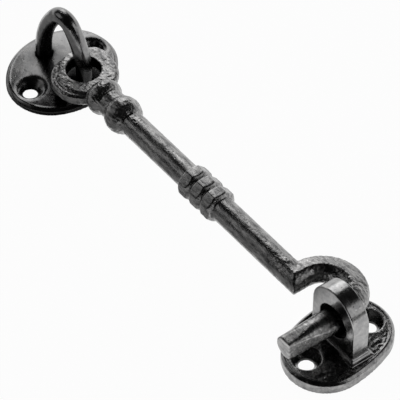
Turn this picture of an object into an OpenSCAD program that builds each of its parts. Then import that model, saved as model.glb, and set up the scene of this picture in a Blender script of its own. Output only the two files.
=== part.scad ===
// Cast-iron cabin hook: staple plate, staple, hook arm, keeper plate and ear.
// Sizes are in millimetres. +X runs along the arm from the staple to the keeper,
// +Y is the way the pin lifts out of the ear, +Z stands out of the wall.
// The origin is the centre of the staple plate's back.

/* [Staple plate] */
// Width of the oval, along the arm
rose_w = 39.2; // [34:0.5:46]
// Length of the oval, along its two screws
rose_l = 46; // [42:0.5:54]
// Height of the upright rim
rose_rim = 2.6; // [2:0.1:4]
// Rise of the dome above the rim
rose_dome = 2; // [1:0.1:2.4]
// Distance between the two screws
rose_screw_gap = 32; // [30:0.5:36]
// Turn of the plate and its staple against the arm, in degrees
rose_turn = 7; // [0:1:10]
// Angle of the oval's long axis from the line of its screws, from above
rose_skew = 8; // [0:0.5:12]

/* [Staple] */
// Diameter of the bar
staple_bar = 6.3; // [5:0.1:6.5]
// Distance between the axes of the two legs
leg_gap = 22.4; // [20:0.2:24]
// Height of the crown's outside above the wall
staple_h = 34; // [30:0.2:38]
// Radius of the crown, on the bar's axis
crown_r = 5.2; // [4:0.1:6]
// Radius of the two shoulders, on the bar's axis
shoulder_r = 34; // [28:0.5:36]
// How far the crown leans towards the keeper
crown_lean = 0.8; // [0:0.2:2.4]
// How far the staple stands off the plate's middle, towards the keeper
staple_shift = 1.4; // [0:0.1:1.6]
// Diameter of the tail that passes through the plate
tail_d = 4.2; // [3.6:0.1:4.6]

/* [Hook arm] */
// Distance from the centre of the ring to the axis of the pin
arm_l = 148.4; // [130:1:180]
// Outer diameter of the ring
ring_d = 24.5; // [22:0.5:28]
// Diameter of the ring's upper half, which stands aside from the lower one
cheek_d = 23.4; // [22:0.2:24]
// How far the ring's upper half stands aside, towards +Y
cheek_side = 1.5; // [0.2:0.1:1.6]
// How far the ring's lower half stays below its top
cheek_step = 0.7; // [0.4:0.1:1]
// Diameter of the hole in the ring
ring_hole = 13.2; // [12.6:0.2:15]
// How far the ring's hole lies off its middle, towards the end of the arm
hole_back = 1.9; // [0:0.1:2.2]
// How far the ring's hole lies off its middle, towards +Y
hole_side = 1.2; // [0:0.1:1.4]
// Thickness of the ring
ring_t = 5; // [4:0.1:5.5]
// Height of the ring's middle above the wall
ring_z = 11.6; // [9.8:0.1:12]
// How far the arm hangs below the staple plate's middle, towards -Y
arm_drop = 1.1; // [0:0.1:1.4]
// Diameter of the bead beside the ring
bead_d = 14; // [13:0.2:16]
// Length of the bead beside the ring
bead_l = 8.8; // [8:0.2:11]
// Diameter of the waist between bead and ball
waist_d = 11; // [9.5:0.1:12.5]
// Diameter of the ball
ball_d = 14.2; // [13.5:0.1:16]
// Diameter of the shank and the crook
shank_d = 9.5; // [8.5:0.1:10.5]
// Width across the flats of the three collar rings
collar_af = 12.2; // [11.5:0.1:14]
// Length of one collar ring
collar_l = 5.5; // [5:0.1:8]
// Length of the groove between two collar rings
groove_l = 0.9; // [0.6:0.1:2]
// Distance from the ring's centre to the first collar ring
collar_x = 65.2; // [50:0.5:70]
// Radius of the crook, on the bar's axis
crook_r = 11.4; // [11:0.1:16]
// Straight length of the crook before it bends
crook_rise = 2.9; // [2:0.1:6]
// Reach of the pin's tip past the arm's axis
pin_reach = 22.8; // [18:0.2:30]
// Diameter of the pin at its tip
pin_tip_d = 8.6; // [7.6:0.1:8.8]

/* [Keeper plate] */
// How far the keeper's middle lies past the pin's axis
keep_shift = 1.1; // [0:0.1:1.3]
// Width of the oval, along the arm
keep_w = 31.8; // [30:0.2:44]
// Length of the oval, along its two screws
keep_l = 44; // [42:0.2:54]
// Angle of the oval's long axis from the line of its screws, from above
keep_skew = 10.5; // [0:0.5:12]
// Height of the upright rim
keep_rim = 4.4; // [2.8:0.1:4.4]
// Rise of the dome above the rim
keep_dome = 0.8; // [0.5:0.1:1.6]
// Distance between the two screws
keep_screw_gap = 27.6; // [27:0.2:32]

/* [Ear] */
// Width of the ear, along the arm
ear_w = 22.3; // [21:0.1:27]
// How far the ear stands off the keeper plate's middle, towards +Y
ear_side = 0.7; // [0:0.1:1.2]
// Thickness of the ear, along the pin
ear_t = 6.8; // [6:0.1:8]
// Height of the ear's round top above the wall
ear_h = 30.4; // [28:0.2:36]
// Diameter of the hole for the pin
ear_hole = 13.4; // [13:0.1:13.8]
// Height of the hole's centre above the wall
ear_hole_z = 16.2; // [16:0.1:18]
// Diameter of the two rivet tails
rivet_d = 4.6; // [4:0.1:5]

/* [Screw holes] */
// Diameter of the screw holes
screw_d = 5.6; // [5:0.1:6]
// Diameter of the countersinks at the plate's face
sink_d = 10.8; // [10:0.1:11.5]
// Straight length of each hole below its countersink
sink_land = 1; // [0.6:0.1:1.4]

/* [Fits] */
// Gap between the leg and the ring that hangs on it
ring_play = 1.2; // [0.2:0.05:1.4]
// Gap between the pin and the side of its hole, where they are nearest
pin_play = 0.6; // [0.5:0.05:0.8]
// Gap round the tails and seats that are riveted
rivet_play = 0.05; // [0.02:0.01:0.1]

/* [Hidden] */
$fn = 96;
// Crown and legs are this much thicker, and close over the ends of the shoulders.
lap = 0.04;
big = 200;
bevel = 0.8;
peen_h = 1.1;
peen_grow = 0.9;
seat_drop = 0.8;
slot_drop = 1;

// The pin lies low in its hole on the staple's side, so the arm climbs a little to it.
pin_d = shank_d;
pin_off = ear_hole / 2 - pin_play - pin_d / 2;
pin_z = ear_hole_z - sqrt(max(0, pin_off * pin_off - keep_shift * keep_shift));
arm_pitch = asin((pin_z - ring_z) / arm_l);

// The ring hangs loosely on the leg nearest to the keeper.
near_leg = staple_shift + leg_gap / 2;
leg_x = near_leg * cos(rose_turn);
leg_y = near_leg * sin(rose_turn);
ring_off = ring_hole / 2 - staple_bar / 2 - ring_play;
ring_aside = leg_y + arm_drop - hole_side;
ring_x = leg_x + hole_back + sqrt(max(0, ring_off * ring_off - ring_aside * ring_aside));
keep_x = ring_x + arm_l * cos(arm_pitch) + keep_shift;

// Stations along the arm, from the centre of the ring.
bead_x = ring_d / 2 + 0.5;
waist_x = bead_x + bead_l / 2;
ball_x = waist_x + 1.4 + sqrt(ball_d * ball_d - waist_d * waist_d) / 2 + 1.4;
corner_x = arm_l - 2 * crook_r;

// The arch of the staple is drawn with three centres. Its crown leans, so the
// shoulder towards the keeper (side 1) turns less than the other (side -1).
arch_a = leg_gap / 2;
arch_top = staple_h - staple_bar / 2;
crown_z = arch_top - crown_r;
function shoulder_turn(side) =
    acos((shoulder_r - arch_a + side * crown_lean) / (shoulder_r - crown_r));
function spring_z(side) = crown_z - (shoulder_r - crown_r) * sin(shoulder_turn(side));

// Heights of the domes where something stands on them.
function dome_r(half, rise) = (half * half + rise * rise) / (2 * rise);
function dome_z(rim, rise, half, at) =
    rim + rise - dome_r(half, rise) + sqrt(pow(dome_r(half, rise), 2) - at * at);
leg_seat = dome_z(rose_rim, rose_dome, rose_w / 2, near_leg + staple_bar / 2) - seat_drop;
rose_face = dome_z(rose_rim, rose_dome, rose_l / 2, rose_screw_gap / 2);
keep_face = dome_z(keep_rim, keep_dome, keep_l / 2, keep_screw_gap / 2);
ear_seat = dome_z(keep_rim, keep_dome, keep_w / 2, ear_w / 2) - slot_drop;
rivet_gap = ear_w * 0.5;

// A disc whose upper edge is cut back at 45 degrees.
module edge_disc(r, low, high) {
    cylinder(r = r, h = low);
    translate([0, 0, low])
        cylinder(r1 = r, r2 = r - (high - low), h = high - low);
}

// An oval of four arcs, with a bevelled edge: w along X, l along Y, e the end radius.
module oval_block(w, l, e, low, high) {
    a = l / 2;
    b = w / 2;
    side = ((a - e) * (a - e) + b * b - e * e) / (2 * (b - e));
    far = 1.6 * side / (side - e);
    far_x = (far - 1) * (side - b);
    // Cut just short of the tangent points, so the end discs close over the sides.
    far_y = 0.94 * far * (a - e);
    for (s = [-1, 1])
        translate([0, s * (a - e), 0])
            edge_disc(e, low, high);
    intersection() {
        translate([b - side, 0, 0])
            edge_disc(side, low, high);
        translate([side - b, 0, 0])
            edge_disc(side, low, high);
        linear_extrude(height = high)
            polygon([[0, a - e], [far_x, far_y], [far_x, -far_y],
                     [0, e - a], [-far_x, -far_y], [-far_x, far_y]]);
    }
}

// A barrel lying along X: its upper side is the dome over an oval.
module dome_barrel(w, l, rim, rise) {
    rx = dome_r(w / 2, rise);
    ry = dome_r(l / 2, rise);
    translate([0, 0, rim + rise - ry])
        rotate([0, 90, 0])
            rotate_extrude($fn = 480)
                intersection() {
                    translate([ry - rx, 0])
                        circle(r = rx, $fn = 480);
                    translate([0, -w])
                        square([2 * ry, 2 * w]);
                }
}

module domed_plate(w, l, e, rim, rise) {
    intersection() {
        oval_block(w, l, e, rim - bevel, rim + rise + 1);
        dome_barrel(w, l, rim, rise);
    }
}

// A countersunk screw hole whose countersink is sink_d wide at the height face.
module screw_hole(face) {
    up = 3;
    top_r = sink_d / 2 + up * (sink_d - screw_d) / 2 / (face - sink_land);
    rotate_extrude()
        polygon([[0, -1], [screw_d / 2, -1], [screw_d / 2, sink_land],
                 [top_r, face + up], [0, face + up]]);
}

// A tail that is peened out in a cone at the back; play makes the hole for it.
module peened_tail(d, top, play) {
    low = play > 0 ? -1 : 0;
    r = d / 2 + play;
    low_r = r + peen_grow * (peen_h - low) / peen_h;
    rotate_extrude()
        polygon([[0, low], [low_r, low], [r, peen_h], [r, top], [0, top]]);
}

module staple_plate() {
    color("#1c1c1d")
        rotate([0, 0, rose_turn])
            difference() {
                rotate([0, 0, rose_skew])
                    domed_plate(rose_w, rose_l, rose_w * 0.4416, rose_rim, rose_dome);
                for (s = [-1, 1])
                    translate([0, s * rose_screw_gap / 2, 0])
                        screw_hole(rose_face);
                for (s = [-1, 1])
                    translate([staple_shift + s * leg_gap / 2, 0, 0]) {
                        peened_tail(tail_d, leg_seat + 1, rivet_play);
                        translate([0, 0, leg_seat])
                            cylinder(d = staple_bar + 2 * rivet_play, h = 8);
                    }
            }
}

// A piece of round bar bent to radius r, from angle a0 over the angle a, in the XY plane.
module bent_bar(r, d, a0, a) {
    rotate([0, 0, a0])
        rotate_extrude(angle = a)
            translate([r, 0])
                circle(d = d, $fn = 48);
}

module staple() {
    near = shoulder_turn(1);
    far = shoulder_turn(-1);
    color("#161617")
        rotate([0, 0, rose_turn])
            translate([staple_shift, 0, 0]) {
                for (s = [-1, 1])
                    translate([s * arch_a, 0, 0]) {
                        translate([0, 0, leg_seat])
                            cylinder(d = staple_bar, h = spring_z(s) - leg_seat + 0.1, $fn = 48);
                        peened_tail(tail_d, leg_seat + 1, 0);
                    }
                rotate([90, 0, 0]) {
                    translate([arch_a - shoulder_r, spring_z(1), 0])
                        bent_bar(shoulder_r, staple_bar - lap, 0, near);
                    translate([shoulder_r - arch_a, spring_z(-1), 0])
                        bent_bar(shoulder_r, staple_bar - lap, 180 - far, far);
                    translate([crown_lean, crown_z, 0])
                        bent_bar(crown_r, staple_bar, near - 1, 182 - near - far);
                }
            }
}

// A disc with rounded edges, from the height low to the height high.
module round_disc(d, low, high) {
    r = d / 2;
    c = ring_t * 0.24;
    rotate_extrude() {
        translate([0, low])
            square([r - c, high - low]);
        translate([0, low + c])
            square([r, high - low - 2 * c]);
        for (y = [low + c, high - c])
            translate([r - c, y])
                circle(r = c, $fn = 48);
    }
}

// The ring: its two mould halves stand a little aside from each other, and so does its hole.
module ring() {
    difference() {
        union() {
            round_disc(ring_d, -ring_t / 2, ring_t / 2 - cheek_step);
            translate([0, cheek_side, 0])
                round_disc(cheek_d, -ring_t / 4, ring_t / 2);
        }
        translate([-hole_back, hole_side, -ring_t])
            cylinder(d = ring_hole, h = 2 * ring_t);
    }
}

// A bead turned round X: flat ends and a half-round edge, l long and d across.
module bead(l, d) {
    rotate([0, 90, 0])
        rotate_extrude() {
            translate([0, -l / 2])
                square([d / 2 - l / 2, l]);
            intersection() {
                translate([d / 2 - l / 2, 0])
                    circle(d = l);
                translate([d / 2 - l / 2, -l])
                    square([l, 2 * l]);
            }
        }
}

// One collar ring: an eight-sided bar whose two ends are turned down.
module collar_ring() {
    r_out = collar_af / 2 / cos(22.5);
    r_end = collar_af / 2 - 0.5;
    r_far = r_out + 0.6;
    ease = 1.5;
    intersection() {
        rotate([0, 90, 0])
            rotate([0, 0, 22.5])
                cylinder(r = r_out, h = collar_l, $fn = 8);
        rotate([0, 90, 0])
            rotate_extrude()
                polygon([[0, 0], [r_end, 0], [r_far, ease], [r_far, collar_l - ease],
                         [r_end, collar_l], [0, collar_l]]);
    }
}

// Half of all space on one side of the mitre between shank and crook.
module mitre_half(side) {
    translate([corner_x, 0, 0])
        rotate([0, 0, 45])
            translate([side > 0 ? 0 : -big, -big / 2, -big / 2])
                cube([big, big, big]);
}

// The pin: a slow cone with a long flat on its outer side and a small one on top.
module pin() {
    l = pin_reach + crook_rise;
    intersection() {
        translate([0, crook_rise, 0])
            rotate([90, 0, 0])
                cylinder(d1 = pin_d, d2 = pin_tip_d, h = l);
        translate([pin_d / 2 + 0.05, -ear_t / 2, 0])
            rotate([0, 0, -6.5])
                translate([-big, -big / 2, -big / 2])
                    cube([big, big, big]);
        translate([0, -ear_t, pin_d / 2 + 0.05])
            rotate([4, 0, 0])
                translate([-big / 2, -big / 2, -big])
                    cube([big, big, big]);
    }
}

// The arm lying along X, with the centre of its ring at the origin.
module straight_arm() {
    ring();
    translate([bead_x, 0, 0])
        bead(bead_l, bead_d);
    translate([bead_x, 0, 0])
        rotate([0, 90, 0])
            cylinder(d = waist_d, h = ball_x - bead_x);
    translate([ball_x, 0, 0])
        rotate([0, 90, 0])
            sphere(d = ball_d);
    intersection() {
        translate([ball_x, 0, 0])
            rotate([0, 90, 0])
                cylinder(d = shank_d, h = corner_x - ball_x + shank_d);
        mitre_half(-1);
    }
    for (i = [0:2])
        translate([collar_x + i * (collar_l + groove_l), 0, 0])
            collar_ring();
    translate([collar_x + 1, 0, 0])
        rotate([0, 90, 0])
            cylinder(d = collar_af - 1.8, h = 3 * collar_l + 2 * groove_l - 2);
    intersection() {
        translate([corner_x, -shank_d, 0])
            rotate([-90, 0, 0])
                cylinder(d = shank_d, h = crook_rise + shank_d);
        mitre_half(1);
    }
    translate([corner_x + crook_r, crook_rise, 0])
        bent_bar(crook_r, shank_d, 0, 180);
    translate([arm_l, 0, 0])
        pin();
}

module hook_arm() {
    color("#222223")
        translate([ring_x, -arm_drop, ring_z])
            rotate([0, -arm_pitch, 0])
                straight_arm();
}

module keeper_plate() {
    color("#1e1e1f")
        translate([keep_x, -arm_drop, 0])
            difference() {
                rotate([0, 0, keep_skew])
                    domed_plate(keep_w, keep_l, keep_w * 0.48, keep_rim, keep_dome);
                for (s = [-1, 1])
                    translate([0, s * keep_screw_gap / 2, 0])
                        screw_hole(keep_face);
                translate([-ear_w / 2 - rivet_play, ear_side - ear_t / 2 - rivet_play, ear_seat])
                    cube([ear_w + 2 * rivet_play, ear_t + 2 * rivet_play, 8]);
                for (s = [-1, 1])
                    translate([s * rivet_gap / 2, ear_side, 0])
                        peened_tail(rivet_d, ear_seat + 1, rivet_play);
            }
}

module keeper_ear() {
    top_r = ear_w / 2;
    color("#191919")
        translate([keep_x, ear_side - arm_drop, 0]) {
            difference() {
                union() {
                    translate([-top_r, -ear_t / 2, ear_seat])
                        cube([ear_w, ear_t, ear_h - top_r - ear_seat]);
                    translate([0, ear_t / 2, ear_h - top_r])
                        rotate([90, 0, 0])
                            cylinder(r = top_r, h = ear_t);
                }
                translate([0, ear_t, ear_hole_z])
                    rotate([90, 0, 0])
                        cylinder(d = ear_hole, h = 2 * ear_t);
            }
            for (s = [-1, 1])
                translate([s * rivet_gap / 2, 0, 0])
                    peened_tail(rivet_d, ear_seat + 1, 0);
        }
}

staple_plate();
staple();
hook_arm();
keeper_plate();
keeper_ear();
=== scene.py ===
# %% [markdown]
# # A cast-iron cabin hook, dressed around its CAD frame
# The real thing is a black door hook. An oval plate carries a bent staple, the arm hangs on the
# staple by its ring, and the arm's pin lies in the eye of an ear that stands on a second oval plate.
# The CAD model already holds every size, so this lesson loads it as a fixed frame, works on copies
# of its solids, and gives them the soft edges, the sand-cast skin and the black coat of the real one.

# %% Load the frame
import math

import bpy
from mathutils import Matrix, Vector, kdtree


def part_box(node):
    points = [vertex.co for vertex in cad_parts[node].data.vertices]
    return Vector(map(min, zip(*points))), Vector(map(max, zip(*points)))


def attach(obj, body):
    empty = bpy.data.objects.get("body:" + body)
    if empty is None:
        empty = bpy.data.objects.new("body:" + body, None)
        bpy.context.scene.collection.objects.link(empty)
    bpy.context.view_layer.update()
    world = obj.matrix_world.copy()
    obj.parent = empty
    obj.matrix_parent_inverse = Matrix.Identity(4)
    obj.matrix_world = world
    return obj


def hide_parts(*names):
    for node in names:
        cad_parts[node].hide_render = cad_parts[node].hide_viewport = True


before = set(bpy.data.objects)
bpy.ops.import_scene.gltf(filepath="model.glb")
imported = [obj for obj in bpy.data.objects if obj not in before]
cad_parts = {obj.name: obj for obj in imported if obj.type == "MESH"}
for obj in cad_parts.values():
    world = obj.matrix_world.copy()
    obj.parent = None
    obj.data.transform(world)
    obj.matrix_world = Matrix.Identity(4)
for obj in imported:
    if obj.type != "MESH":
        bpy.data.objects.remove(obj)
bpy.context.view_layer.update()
MM = 0.001
scene = bpy.context.scene
print("nodes:", sorted(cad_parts))

# %% [markdown]
# ## The camera
# The photograph was taken from above and to the right with a long lens, so the two ovals keep
# almost the same size. The camera could be moved by eye until the picture fits. It is worked out
# instead, because then it can be checked: the angles come from the shapes of the two ovals and the
# direction of the arm, and the focal length from the part's scale in a square picture of 400 points.

# %% Place the camera
AZIMUTH = math.radians(52.94)
ELEVATION = math.radians(47.7)
DISTANCE = 1.1
POINTS_PER_MM = 2.812
PICTURE = 400
SENSOR_MM = 36.0
TARGET = Vector((87.7, -0.5, 12.0)) * MM
TARGET_POINT = (202.7, 190.9)

back = Vector((
    math.sin(AZIMUTH) * math.cos(ELEVATION),
    -math.cos(AZIMUTH) * math.cos(ELEVATION),
    math.sin(ELEVATION),
))
right = Vector((math.cos(AZIMUTH), math.sin(AZIMUTH), 0.0))
up = back.cross(right)
step_right = (PICTURE / 2 - TARGET_POINT[0]) / POINTS_PER_MM * MM
step_up = (TARGET_POINT[1] - PICTURE / 2) / POINTS_PER_MM * MM
aim = TARGET + right * step_right + up * step_up

bpy.ops.object.select_all(action="DESELECT")
bpy.ops.object.camera_add(location=aim + back * DISTANCE)
camera = bpy.context.object
camera.name = "photo_camera"
camera.rotation_euler = (-back).to_track_quat("-Z", "Y").to_euler()
camera.data.sensor_width = SENSOR_MM
camera.data.lens = POINTS_PER_MM / MM * DISTANCE / PICTURE * SENSOR_MM
camera.data.clip_start = 0.05
camera.data.clip_end = 20.0
scene.camera = camera
print("lens", round(camera.data.lens, 1), "mm")

# %% [markdown]
# ## The floor
# Black gloss shows the room more than its own colour, so the room is built first. The background of
# the photograph is white. A white sheet would do for the camera, but its reflection would brighten
# the sides of the arm that are black in the photograph. So the camera sees a plain pale floor, and
# in reflections the floor turns dark at the left of the arm, as a shadow would make it.

# %% Lay the floor
FLOOR_WIDE = 8.0
FLOOR_AT = (0.09, 0.0, -0.0004)
bpy.ops.object.select_all(action="DESELECT")
bpy.ops.mesh.primitive_plane_add(size=FLOOR_WIDE, location=FLOOR_AT)
floor = bpy.context.object
floor.name = "studio_floor"
bpy.ops.object.transform_apply(location=True, rotation=False, scale=False)
print("floor laid at z", round(floor.data.vertices[0].co.z, 5))


# %% Shade the floor for reflections
def add_node(tree, kind, **inputs):
    """A new node with some of its inputs set. An underscore stands for a space in a name."""
    node = tree.nodes.new(kind)
    for key, value in inputs.items():
        node.inputs[key.replace("_", " ")].default_value = value
    return node


def map_range(tree, value, start, end, low=0.0, high=1.0, curve="LINEAR"):
    """An output that goes from low to high while the value goes from start to end."""
    node = add_node(
        tree, "ShaderNodeMapRange", From_Min=start, From_Max=end, To_Min=low, To_Max=high)
    node.interpolation_type = curve
    tree.links.new(value, node.inputs["Value"])
    return node.outputs["Result"]


def combine(tree, operation, first, second):
    """An output that works out first and second together. Either may be a number."""
    node = tree.nodes.new("ShaderNodeMath")
    node.operation = operation
    for socket, source in zip(node.inputs, (first, second)):
        if isinstance(source, float):
            socket.default_value = source
        else:
            tree.links.new(source, socket)
    return node.outputs[0]


SHADE_Y = (-6 * MM, -14 * MM)
SHADE_X = (152 * MM, 136 * MM)
SHADE_DEPTH = 0.85
floor_paint = bpy.data.materials.new("pale_floor")
floor_paint.use_nodes = True
tree = floor_paint.node_tree
tree.nodes.clear()
floor_place = add_node(tree, "ShaderNodeTexCoord")
floor_split = add_node(tree, "ShaderNodeSeparateXYZ")
tree.links.new(floor_place.outputs["Object"], floor_split.inputs[0])
shade_y = map_range(tree, floor_split.outputs["Y"], *SHADE_Y, curve="SMOOTHSTEP")
shade_x = map_range(tree, floor_split.outputs["X"], *SHADE_X, high=SHADE_DEPTH, curve="SMOOTHSTEP")
floor_shade = combine(tree, "MULTIPLY", shade_y, shade_x)
floor_left = combine(tree, "SUBTRACT", 1.0, floor_shade)
print("floor shaded with", len(tree.nodes), "nodes")

# %% Paint the floor
FLOOR_GREY = (0.86, 0.86, 0.86, 1.0)
FLOOR_GLOW = (1.0, 1.0, 1.0, 1.0)
GLOW_SHARE = 0.97
floor_path = add_node(tree, "ShaderNodeLightPath")
mirrored = combine(tree, "MULTIPLY", floor_path.outputs["Is Glossy Ray"], floor_left)
floor_seen = combine(tree, "MAXIMUM", floor_path.outputs["Is Camera Ray"], mirrored)
floor_matt = add_node(tree, "ShaderNodeBsdfDiffuse", Color=FLOOR_GREY)
floor_glow = add_node(tree, "ShaderNodeEmission", Color=FLOOR_GLOW, Strength=1.0)
floor_mix = add_node(tree, "ShaderNodeMixShader")
floor_out = add_node(tree, "ShaderNodeOutputMaterial")
tree.links.new(combine(tree, "MULTIPLY", floor_seen, GLOW_SHARE), floor_mix.inputs[0])
tree.links.new(floor_matt.outputs[0], floor_mix.inputs[1])
tree.links.new(floor_glow.outputs[0], floor_mix.inputs[2])
tree.links.new(floor_mix.outputs[0], floor_out.inputs["Surface"])
floor.data.materials.append(floor_paint)
print("floor painted with", len(tree.nodes), "nodes")

# %% [markdown]
# ## The room and its lights
# The tops of the ovals are light grey in the photograph because they mirror something pale behind
# the object, and the sides that mirror the dark part of the room stay black. White screens could be
# put up for this, but a gradient round the scene has no edges that would show in the gloss. It goes
# from a pale horizon to a dark ceiling, and its upright axis is tilted so that the pale band rises
# behind the object. The main soft light hangs behind, a dim one at the left keeps the shank's middle
# from going quite dark, and one at the right lights the sides that look along the arm.

# %% Paint the room
ROOM_AXIS = (0.241, -0.364, 0.899)
HORIZON = (0.02, 0.92)
CEILING = (0.20, 0.008)
room = bpy.data.worlds.new("studio_room")
scene.world = room
room.use_nodes = True
tree = room.node_tree
tree.nodes.clear()
room_out = add_node(tree, "ShaderNodeOutputWorld")
room_light = add_node(tree, "ShaderNodeBackground")
room_way = add_node(tree, "ShaderNodeTexCoord")
room_tilt = add_node(tree, "ShaderNodeVectorMath")
room_tilt.operation = "DOT_PRODUCT"
room_tilt.inputs[1].default_value = ROOM_AXIS
room_ramp = add_node(tree, "ShaderNodeValToRGB")
for stop, (height, grey) in zip(room_ramp.color_ramp.elements, (HORIZON, CEILING)):
    stop.position = height
    stop.color = (grey, grey, grey, 1.0)
tree.links.new(room_way.outputs["Generated"], room_tilt.inputs[0])
tree.links.new(room_tilt.outputs["Value"], room_ramp.inputs["Fac"])
tree.links.new(room_ramp.outputs["Color"], room_light.inputs["Color"])
tree.links.new(room_light.outputs[0], room_out.inputs["Surface"])
scene.view_settings.view_transform = "Standard"
print("room painted from a pale horizon to a dark ceiling")

# %% Hang the soft lights
LIGHT_DISTANCE = 1.2


def hang_soft_light(name, way, wide, high, watts):
    """A soft light that stands in the given direction from the middle of the arm."""
    direction = Vector(way).normalized()
    bpy.ops.object.select_all(action="DESELECT")
    bpy.ops.object.light_add(type="AREA", location=TARGET + direction * LIGHT_DISTANCE)
    lamp = bpy.context.object
    lamp.name = name
    lamp.rotation_euler = direction.to_track_quat("Z", "Y").to_euler()
    lamp.data.shape = "RECTANGLE"
    lamp.data.size = wide
    lamp.data.size_y = high
    lamp.data.energy = watts
    print(name, "hung at", [round(c, 2) for c in lamp.location])


hang_soft_light("soft_light_behind", (-0.694, 0.417, 0.588), wide=0.50, high=0.78, watts=1.75)
hang_soft_light("dim_light_left", (-0.57, -0.63, 0.53), wide=0.6, high=0.6, watts=0.50)
hang_soft_light("soft_light_right", (0.75, 0.44, 0.50), wide=0.7, high=0.7, watts=1.2)

# %% [markdown]
# ## The colour of the black coat
# One flat black would look like plastic. The coat is a dark metal that is flecked lighter and darker.
# Edges are a little lighter, partly where the coat wears thin and partly as a painted highlight.
# Nooks are painted nearly black as painted shade, where the piece, the other pieces and the floor
# shade them. They could be painted by hand, but an ambient occlusion node finds them by itself: it
# tells how much open sky a point has. The patterns read Object coordinates, so they stay on the
# piece from every side.

# %% Fleck the colour
FLECK_RANGE = (0.34, 0.66)
DARK_TINT = (1.0, 1.0, 1.01)
LIGHT_TINT = (1.0, 0.99, 0.98)


def noise(tree, place, size_mm, detail, roughness):
    """The output of a noise whose spots are about size_mm across."""
    node = add_node(tree, "ShaderNodeTexNoise", Detail=detail, Roughness=roughness)
    node.inputs["Scale"].default_value = 1 / (size_mm * MM)
    tree.links.new(place, node.inputs["Vector"])
    return node.outputs["Fac"]


def fleck_colour(tree, place, shade, size_mm, strength):
    """A colour round the shade, darker and lighter in flecks."""
    ramp = add_node(tree, "ShaderNodeValToRGB")
    greys = (shade * (1 - strength), shade * (1 + strength))
    stops = zip(ramp.color_ramp.elements, FLECK_RANGE, greys, (DARK_TINT, LIGHT_TINT))
    for stop, position, grey, tint in stops:
        stop.position = position
        stop.color = [grey * part for part in tint] + [1.0]
    tree.links.new(noise(tree, place, size_mm, detail=3.0, roughness=0.6), ramp.inputs["Fac"])
    return ramp.outputs["Color"]


print("flecks lie between", FLECK_RANGE, "of the noise")

# %% Wear and highlight the edges, and paint shade into the nooks
EDGE_RANGE = (0.53, 0.62)
# The edges get lighter partly from wear of the coat and partly as a painted highlight.
EDGE_WEAR_AND_HIGHLIGHT = 0.5
WORN_AND_HIGHLIT_TINT = (1.6, 1.59, 1.57)
NOOK_REACH = 11 * MM
NOOK_SAMPLES = 8
# The nearly black colour of the painted shade in the nooks.
NOOK_SHADE_BLACK = (0.003, 0.003, 0.003, 1.0)


# Partly wear of the coat on the edges and partly a painted highlight along them.
def wear_and_highlight_edges(tree, colour, shade):
    """The colour, made lighter where the skin is pointed: a worn coat, and a painted highlight."""
    shape = add_node(tree, "ShaderNodeNewGeometry")
    worn_and_highlit = add_node(tree, "ShaderNodeMix")
    worn_and_highlit.data_type = "RGBA"
    worn_and_highlit.inputs["B"].default_value = [shade * part for part in WORN_AND_HIGHLIT_TINT] + [1.0]
    edge = map_range(tree, shape.outputs["Pointiness"], *EDGE_RANGE, high=EDGE_WEAR_AND_HIGHLIGHT)
    tree.links.new(edge, worn_and_highlit.inputs["Factor"])
    tree.links.new(colour, worn_and_highlit.inputs["A"])
    return worn_and_highlit.outputs["Result"]


# Painted shade: where the piece, its neighbours or the floor close off the sky, the base colour goes
# nearly black.
def paint_nook_shade(tree, colour, nooks):
    """The colour, made nearly black as painted shade where a point has little open sky."""
    sky = add_node(tree, "ShaderNodeAmbientOcclusion", Distance=NOOK_REACH)
    sky.samples = NOOK_SAMPLES
    nook_shade_mix = add_node(tree, "ShaderNodeMix")
    nook_shade_mix.data_type = "RGBA"
    nook_shade_mix.inputs["A"].default_value = NOOK_SHADE_BLACK
    tree.links.new(map_range(tree, sky.outputs["AO"], *nooks), nook_shade_mix.inputs["Factor"])
    tree.links.new(colour, nook_shade_mix.inputs["B"])
    return nook_shade_mix.outputs["Result"]


print("nooks are looked for within", round(NOOK_REACH / MM), "mm")

# %% [markdown]
# ## The gloss of the black coat
# Where the coat lies on smooth iron it shines, and where it lies on sand grain it breaks up. One
# roughness for a whole piece would look wet or dusty all over, so it varies in soft blotches. The
# finest grain and the scattered pits are a bump, because they would need too many faces as a mesh.

# %% Vary the gloss and pit the skin
BLOTCH_MM = 4.0
BLOTCH_RANGE = (0.3, 0.7)
SMOOTHER = 0.07
ROUGHER = 0.09
PIT_SPACING_MM = 2.4
PIT_RANGE = (0.02, 0.16)


def blotch_gloss(tree, place, rough):
    """A roughness round the given one, in soft blotches."""
    blotch = noise(tree, place, BLOTCH_MM, detail=4.0, roughness=0.6)
    return map_range(tree, blotch, *BLOTCH_RANGE, low=rough - SMOOTHER, high=rough + ROUGHER)


def pit_and_grain(tree, pit_place, pit_depth_mm, grain_place, grain_mm, grain_depth_mm):
    """A normal with scattered pits and a fine grain."""
    pits = add_node(tree, "ShaderNodeTexVoronoi", Scale=1 / (PIT_SPACING_MM * MM), Randomness=1.0)
    pit_bump = add_node(tree, "ShaderNodeBump", Strength=1.0, Distance=pit_depth_mm * MM)
    grain_bump = add_node(tree, "ShaderNodeBump", Strength=1.0, Distance=grain_depth_mm * MM)
    grain = noise(tree, grain_place, grain_mm, detail=3.0, roughness=0.65)
    tree.links.new(pit_place, pits.inputs["Vector"])
    tree.links.new(map_range(tree, pits.outputs["Distance"], *PIT_RANGE), pit_bump.inputs["Height"])
    tree.links.new(grain, grain_bump.inputs["Height"])
    tree.links.new(pit_bump.outputs["Normal"], grain_bump.inputs["Normal"])
    return grain_bump.outputs["Normal"]


print("blotches of", BLOTCH_MM, "mm, pits", PIT_SPACING_MM, "mm apart")

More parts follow.
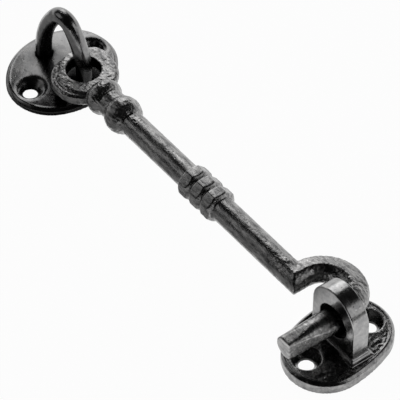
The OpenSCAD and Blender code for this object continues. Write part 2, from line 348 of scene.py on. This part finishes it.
# %% Mix the five finishes
def black_finish(name, shade, rough, flecks, grain, pit_depth_mm, nooks, stretch=(1, 1, 1)):
    """A black coated iron.

    flecks are (size_mm, strength), grain is (size_mm, depth_mm), and stretch draws both out.
    nooks are the shares of open sky at which the painted shade is full and at which it ends.
    """
    paint = bpy.data.materials.new(name)
    paint.use_nodes = True
    tree = paint.node_tree
    tree.nodes.clear()
    out = add_node(tree, "ShaderNodeOutputMaterial")
    coat = add_node(tree, "ShaderNodeBsdfPrincipled", Metallic=1.0)
    place = add_node(tree, "ShaderNodeTexCoord").outputs["Object"]
    mapping = add_node(tree, "ShaderNodeMapping", Scale=stretch)
    tree.links.new(place, mapping.inputs["Vector"])
    drawn = mapping.outputs["Vector"]
    flecked = fleck_colour(tree, drawn, shade, *flecks)
    # The base colour carries painted highlights on the edges and painted shade in the nooks.
    colour = paint_nook_shade(tree, wear_and_highlight_edges(tree, flecked, shade), nooks)
    tree.links.new(colour, coat.inputs["Base Color"])
    tree.links.new(blotch_gloss(tree, drawn, rough), coat.inputs["Roughness"])
    tree.links.new(pit_and_grain(tree, place, pit_depth_mm, drawn, *grain), coat.inputs["Normal"])
    tree.links.new(coat.outputs["BSDF"], out.inputs["Surface"])
    print(name, "mixed with", len(tree.nodes), "nodes")
    return paint


# The shades differ partly as painted light and shade: the ear has a lighter coat and the staple plate
# a darker one, to brighten and darken their faces.
ARM_BLACK = black_finish(
    "arm_black", shade=0.30, rough=0.26, flecks=(1.5, 0.5), grain=(0.5, 0.07),
    pit_depth_mm=0.10, nooks=(0.3, 0.72), stretch=(0.35, 1.2, 1.2))
PLATE_BLACK = black_finish(
    "plate_black", shade=0.24, rough=0.22, flecks=(4.0, 0.2), grain=(0.8, 0.02),
    pit_depth_mm=0.05, nooks=(0.6, 0.94))
KEEPER_BLACK = black_finish(
    "keeper_black", shade=0.30, rough=0.22, flecks=(2.0, 0.35), grain=(0.7, 0.05),
    pit_depth_mm=0.10, nooks=(0.2, 0.7))
BAR_BLACK = black_finish(
    "bar_black", shade=0.27, rough=0.20, flecks=(3.0, 0.2), grain=(0.8, 0.02),
    pit_depth_mm=0.04, nooks=(0.56, 0.86))
EAR_BLACK = black_finish(
    "ear_black", shade=0.36, rough=0.20, flecks=(3.0, 0.2), grain=(0.8, 0.02),
    pit_depth_mm=0.04, nooks=(0.42, 0.8))

# %% [markdown]
# ## Working copies of the solids
# A CAD solid has knife-sharp edges and is tessellated in long triangles. A sand casting has neither:
# every edge is eased by the sand and the paint. A Bevel modifier could round the edges, but it needs
# even faces. So the solids are copied, their loose triangles merged, and a voxel remesh gives each
# copy an even skin that can be smoothed and roughened. The staple plate is the first.

# %% Copy the staple plate and give it an even skin
MERGE_GAP = 0.002 * MM
SMOOTH_FACTOR = 0.5


def only(obj):
    """Select one object alone and make it active, as a click on it would."""
    if bpy.context.object and bpy.context.object.mode != "OBJECT":
        bpy.ops.object.mode_set(mode="OBJECT")
    bpy.ops.object.select_all(action="DESELECT")
    obj.select_set(True)
    bpy.context.view_layer.objects.active = obj


def copy_solid(node, name):
    """A copy of a CAD node with its triangles merged into one closed skin."""
    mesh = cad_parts[node].data.copy()
    mesh.materials.clear()
    piece = bpy.data.objects.new(name, mesh)
    scene.collection.objects.link(piece)
    only(piece)
    bpy.ops.object.mode_set(mode="EDIT")
    bpy.ops.mesh.select_all(action="SELECT")
    bpy.ops.mesh.remove_doubles(threshold=MERGE_GAP)
    bpy.ops.object.mode_set(mode="OBJECT")
    return piece


def apply_modifier(piece, kind, **settings):
    """Add one modifier, set it and apply it at once."""
    only(piece)
    bpy.ops.object.modifier_add(type=kind)
    modifier = piece.modifiers[-1]
    for key, value in settings.items():
        setattr(modifier, key, value)
    bpy.ops.object.modifier_apply(modifier=modifier.name)


def ease(piece, voxel_mm, rounds):
    """Even out the skin with voxels, then round its edges a little."""
    apply_modifier(piece, "REMESH", mode="VOXEL", voxel_size=voxel_mm * MM)
    apply_modifier(piece, "SMOOTH", factor=SMOOTH_FACTOR, iterations=rounds)
    only(piece)
    bpy.ops.object.shade_smooth()
    print(piece.name, "has", len(piece.data.polygons), "faces")


rose = copy_solid("staple_plate", "rose_casting")
ease(rose, voxel_mm=0.27, rounds=4)

# %% [markdown]
# ## The staple plate
# The rose is the smoothest casting of the set: a shallow dome with an upright rim and two
# countersunk screw holes, ground and painted. It could be sculpted, but a rule for its points gives
# the same plate each time. Points near the screws are smoothed until the countersinks are soft
# dimples, and points along the rim are lifted a little, where the paint gathers in a lip.

# %% Soften the countersinks
DIMPLE_FADE = 1.5 * MM
DIMPLE_FLOOR = 1.6 * MM
ROSE_TURN = math.radians(7)
ROSE_SCREW = 16.0 * MM


def clamp(value):
    """The value held between 0 and 1."""
    return max(0.0, min(1.0, value))


def soften_near(piece, axes, reach_mm, rounds):
    """Smooth the upper face round the given upright axes, so a countersink becomes a dimple."""
    group = piece.vertex_groups.new(name="dimples")
    for vertex in piece.data.vertices:
        aside = min((vertex.co.xy - axis).length for axis in axes)
        weight = clamp((reach_mm * MM - aside) / DIMPLE_FADE)
        group.add([vertex.index], weight if vertex.co.z > DIMPLE_FLOOR else 0.0, "REPLACE")
    apply_modifier(piece, "SMOOTH", factor=SMOOTH_FACTOR, iterations=rounds, vertex_group=group.name)
    print(piece.name, "softened within", reach_mm, "mm of", len(axes), "screws")


screw_way = Vector((-math.sin(ROSE_TURN), math.cos(ROSE_TURN)))
soften_near(rose, [screw_way * ROSE_SCREW, -screw_way * ROSE_SCREW], reach_mm=9.2, rounds=90)

# %% Raise a lip along the rim
WALL_SLOPE = 0.3
FACE_SLOPE = 0.6
RIM_FROM = 13.5 * MM
LIP_HALF_MM = 0.5
LIFT_SEEN_MM = 0.02


def raise_lip(piece, height_mm, crest_mm):
    """Lift the upper face a little along the rim, and return the rim's points as a search tree."""
    slopes = [vertex.normal.z for vertex in piece.data.vertices]
    points = [vertex.co.copy() for vertex in piece.data.vertices]
    walls = [point for point, slope in zip(points, slopes) if abs(slope) < WALL_SLOPE]
    middle = sum(walls, Vector()) / len(walls)
    outer = [wall for wall in walls if (wall - middle).xy.length > RIM_FROM]
    rim = kdtree.KDTree(len(outer))
    for index, wall in enumerate(outer):
        rim.insert((wall.x, wall.y, 0.0), index)
    rim.balance()
    lifted = 0
    for point, slope in zip(points, slopes):
        if slope > FACE_SLOPE:
            gap_mm = rim.find((point.x, point.y, 0.0))[2] / MM
            rise_mm = height_mm * math.exp(-(((gap_mm - crest_mm) / LIP_HALF_MM) ** 2))
            point.z += rise_mm * MM
            lifted += rise_mm > LIFT_SEEN_MM
    piece.data.vertices.foreach_set("co", [c for point in points for c in point])
    piece.data.update()
    print(piece.name, "has a lip of", lifted, "points")
    return rim


raise_lip(rose, height_mm=0.10, crest_mm=1.2)

# %% [markdown]
# ## The sand-cast skin
# Sand leaves a grain in cast iron, and the photograph shows it best on the ring, the beads and the
# crook. A bump in the material would leave the outline smooth and the mesh bare, so a Displace
# modifier with a cloud texture moves the skin in and out, by less than a fifth of a millimetre. A
# vertex group says where it is strong. The staple plate gets only a trace of it all over.

# %% Roughen the staple plate
def cloud(name, size_mm, depth):
    """A cloud texture whose lumps are about size_mm across."""
    texture = bpy.data.textures.new(name, type="CLOUDS")
    texture.noise_scale = size_mm * MM
    texture.noise_depth = depth
    return texture


def roughen(piece, texture, height_mm, weight=None):
    """Move the skin in and out by a texture, all over or as far as weight(point) says."""
    settings = {"texture": texture, "strength": height_mm * MM, "mid_level": 0.5}
    settings["texture_coords"] = "LOCAL"
    if weight:
        group = piece.vertex_groups.new(name="rough_" + texture.name)
        for vertex in piece.data.vertices:
            group.add([vertex.index], weight(vertex.co), "REPLACE")
        settings["vertex_group"] = group.name
    apply_modifier(piece, "DISPLACE", **settings)
    print(piece.name, "roughened with", texture.name)


SAND_LUMPS = cloud("sand_lumps", size_mm=3.0, depth=1)
roughen(rose, SAND_LUMPS, height_mm=0.05)

# %% Dress the staple plate
def dress(piece, node, body, paint):
    """Paint a finished piece, let it stand for its CAD node and ride on its body."""
    piece.data.materials.append(paint)
    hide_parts(node)
    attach(piece, body)
    lo = [round(min(v.co[i] for v in piece.data.vertices) / MM, 1) for i in range(3)]
    hi = [round(max(v.co[i] for v in piece.data.vertices) / MM, 1) for i in range(3)]
    print(piece.name, "reaches from", lo, "to", hi)


dress(rose, "staple_plate", "staple_side", PLATE_BLACK)

# %% [markdown]
# ## The staple
# The staple is a round bar bent to an arch. It could be a curve with a round bevel, but the solid
# already has the arch and the riveted tails. The arcs meet without a seam on the real bar, so the
# copy is remeshed more finely and smoothed more than the castings.

# %% Make the staple
loop = copy_solid("staple", "staple_bar")
ease(loop, voxel_mm=0.24, rounds=8)
roughen(loop, SAND_LUMPS, height_mm=0.04)
dress(loop, "staple", "staple_side", BAR_BLACK)

# %% [markdown]
# ## The hook arm
# The arm is one casting from ring to pin. Ring, beads and crook come straight from the sand, and the
# shank between them was rubbed smoother. Two forms are shaped on the copy, each by a rule for its
# points, which is easier to repeat than sculpting: the crook has a flat on its upper outer side, and
# the ring is fuller on its far side, where it covers the plate's far screw hole in the photograph.
# The grain is then weighted by the place along the arm.

# %% Copy the arm and flatten its crook
ARM_LO, ARM_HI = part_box("hook_arm")
CROOK_R = 11.4 * MM
BAR_R = 4.75 * MM
BAR_REACH = 6 * MM
CROOK_Z = 15.4 * MM
CROOK_MID = Vector((ARM_HI.x - CROOK_R - BAR_R, ARM_HI.y - CROOK_R - BAR_R, CROOK_Z))
CROOK_TAIL = 4 * MM
TAIL_FADE = 2 * MM
FLAT_AT = math.radians(68)
FLAT_HALF = math.radians(38)
FLAT_SHARE = 0.85
FLAT_START_DEG = 15
FLAT_FADE_DEG = 45


def flatten_crook(vertex):
    """Flatten the upper outer side of the crook, where the mould half draws off."""
    from_mid = vertex.co - CROOK_MID
    if from_mid.y < -CROOK_TAIL:
        return False
    around = Vector((from_mid.x, max(0.0, from_mid.y)))
    out = around.length - CROOK_R
    turned = math.atan2(from_mid.z, out) - FLAT_AT
    if math.hypot(out, from_mid.z) > BAR_REACH or abs(turned) > FLAT_HALF:
        return False
    bend_deg = math.degrees(math.atan2(around.y, around.x))
    share = FLAT_SHARE * clamp((bend_deg - FLAT_START_DEG) / FLAT_FADE_DEG)
    share *= clamp((from_mid.y + CROOK_TAIL) / TAIL_FADE)
    cut = BAR_R * (1 - math.cos(FLAT_HALF) / math.cos(turned)) * share
    way = Vector((around.x, around.y, 0.0)).normalized() * math.cos(turned + FLAT_AT)
    vertex.co -= (way + Vector((0.0, 0.0, math.sin(turned + FLAT_AT)))) * cut
    return cut > 0


arm = copy_solid("hook_arm", "hook_arm_casting")
ease(arm, voxel_mm=0.34, rounds=4)
print("crook flattened at", sum(flatten_crook(v) for v in arm.data.vertices), "points")

# %% Fill out the ring
STAPLE_LO, STAPLE_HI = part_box("staple")
RING_R = 12.25 * MM
RING_MID = Vector((ARM_LO.x + RING_R, (STAPLE_LO.y + STAPLE_HI.y) / 2))
RING_REACH = (1 * MM, 14 * MM)
FULL_SIDE = Vector((-0.8, 0.6))
FULL_FROM = 0.6
FULL_PUSH = 2.1 * MM
WALL_FROM = 8 * MM
WALL_WIDE = 4.2 * MM


def fill_out_ring(vertex):
    """Push the ring's wall out on its full side, the more the further out a point lies."""
    aside = vertex.co.xy - RING_MID
    if aside.length < RING_REACH[0] or aside.length > RING_REACH[1]:
        return False
    facing = max(0.0, aside.normalized().dot(FULL_SIDE) - FULL_FROM) / (1.0 - FULL_FROM)
    wall = clamp((aside.length - WALL_FROM) / WALL_WIDE)
    push = FULL_PUSH * wall * facing * facing * (3 - 2 * facing)
    vertex.co.xy += aside.normalized() * push
    return push > 0


print("ring filled out at", sum(fill_out_ring(v) for v in arm.data.vertices), "points")

# %% Roughen and dress the arm
SHANK_FROM = ARM_LO.x + 44 * MM
SHANK_TO = ARM_LO.x + 132 * MM
SHANK_FADE = 6 * MM
SHANK_GRAIN = 0.3
PIN_FROM_Y = -3 * MM
PIN_FADE = 5 * MM
PIN_GRAIN = 0.12


def arm_grain(point):
    """1 on the ring, beads and crook, less on the shank and least on the pin."""
    if point.x > SHANK_TO + SHANK_FADE:
        return 1.0 - (1.0 - PIN_GRAIN) * clamp((PIN_FROM_Y - point.y) / PIN_FADE)
    inside = min(point.x - SHANK_FROM, SHANK_TO - point.x)
    return 1.0 - (1.0 - SHANK_GRAIN) * clamp(inside / SHANK_FADE)


SAND_GRAIN = cloud("sand_grain", size_mm=0.9, depth=2)
roughen(arm, SAND_LUMPS, height_mm=0.16, weight=arm_grain)
roughen(arm, SAND_GRAIN, height_mm=0.36, weight=arm_grain)
dress(arm, "hook_arm", "hook", ARM_BLACK)

# %% [markdown]
# ## The keeper plate
# The keeper's oval was painted as it came from the mould. Its upper face is wrinkled at the outer end
# and grainy all over, and a smooth lip of paint runs along its rim. One texture for the whole face
# would hide that, so a ridged one makes the wrinkles and the sand grain does the rest. Both fade out
# before they reach the lip.

# %% Copy the keeper plate and raise its lip
keeper = copy_solid("keeper_plate", "keeper_casting")
ease(keeper, voxel_mm=0.27, rounds=4)
KEEP_RIM = raise_lip(keeper, height_mm=0.28, crest_mm=1.3)

# %% Wrinkle, roughen and dress the keeper plate
KEEP_LO, KEEP_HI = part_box("keeper_plate")
KEEP_MID = (KEEP_LO + KEEP_HI) / 2
LIP_WIDE = 1.6 * MM
LIP_FADE = 1.2 * MM
FACE_FROM = 3.2 * MM
FACE_FADE = 0.8 * MM
END_FROM = 5 * MM
END_FADE = 5 * MM
END_LEAST = 0.05


def keeper_top(point):
    """1 on the upper face, 0 on the lip, the rim and the back."""
    gap = KEEP_RIM.find((point.x, point.y, 0.0))[2]
    return clamp((gap - LIP_WIDE) / LIP_FADE) * clamp((point.z - FACE_FROM) / FACE_FADE)


def keeper_end(point):
    """1 on the outer end of the upper face, where the wrinkles are."""
    along = (point.x - KEEP_MID.x - END_FROM) / END_FADE
    return keeper_top(point) * max(END_LEAST, min(1.0, along))


WRINKLES = bpy.data.textures.new("casting_wrinkles", type="MUSGRAVE")
WRINKLES.musgrave_type = "RIDGED_MULTIFRACTAL"
WRINKLES.noise_scale = 1.9 * MM
WRINKLES.octaves = 1.5
roughen(keeper, WRINKLES, height_mm=0.30, weight=keeper_end)
roughen(keeper, SAND_GRAIN, height_mm=0.12, weight=keeper_top)
dress(keeper, "keeper_plate", "keeper_side", KEEPER_BLACK)

# %% [markdown]
# ## The ear
# The ear is a thick upright with a round top. Its foot spreads into the plate in a small hollow
# curve, which is where paint and shadow gather in the photograph. A Bevel can't make that curve
# between two pieces, so the foot of the copy is drawn out sideways along a quarter circle.

# %% Make the ear
EAR_LO, EAR_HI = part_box("keeper_ear")
EAR_MID = (EAR_LO + EAR_HI) / 2
EAR_HALF = (EAR_HI - EAR_LO) / 2
FOOT_R = 2.0 * MM
FOOT_Z = KEEP_HI.z - 0.3 * MM
FOOT_SUNK = 0.4 * MM
OUTER_X = 0.93
OUTER_Y = 0.8


def draw_out_foot(vertex):
    """Move a point near the foot outwards along a hollow quarter circle."""
    height = vertex.co.z - FOOT_Z
    if not -FOOT_SUNK < height < FOOT_R:
        return False
    drop = FOOT_R - max(0.0, height)
    spread = FOOT_R - math.sqrt(max(0.0, FOOT_R * FOOT_R - drop * drop))
    aside_x = (vertex.co.x - EAR_MID.x) / EAR_HALF.x
    aside_y = (vertex.co.y - EAR_MID.y) / EAR_HALF.y
    if abs(aside_x) > OUTER_X:
        vertex.co.x += math.copysign(spread, aside_x)
    if abs(aside_y) > OUTER_Y:
        vertex.co.y += math.copysign(spread, aside_y)
    return abs(aside_x) > OUTER_X or abs(aside_y) > OUTER_Y


ear = copy_solid("keeper_ear", "ear_upright")
ease(ear, voxel_mm=0.24, rounds=4)
print("foot of the ear drawn out at", sum(draw_out_foot(v) for v in ear.data.vertices), "points")
roughen(ear, SAND_LUMPS, height_mm=0.05)
dress(ear, "keeper_ear", "keeper_side", EAR_BLACK)
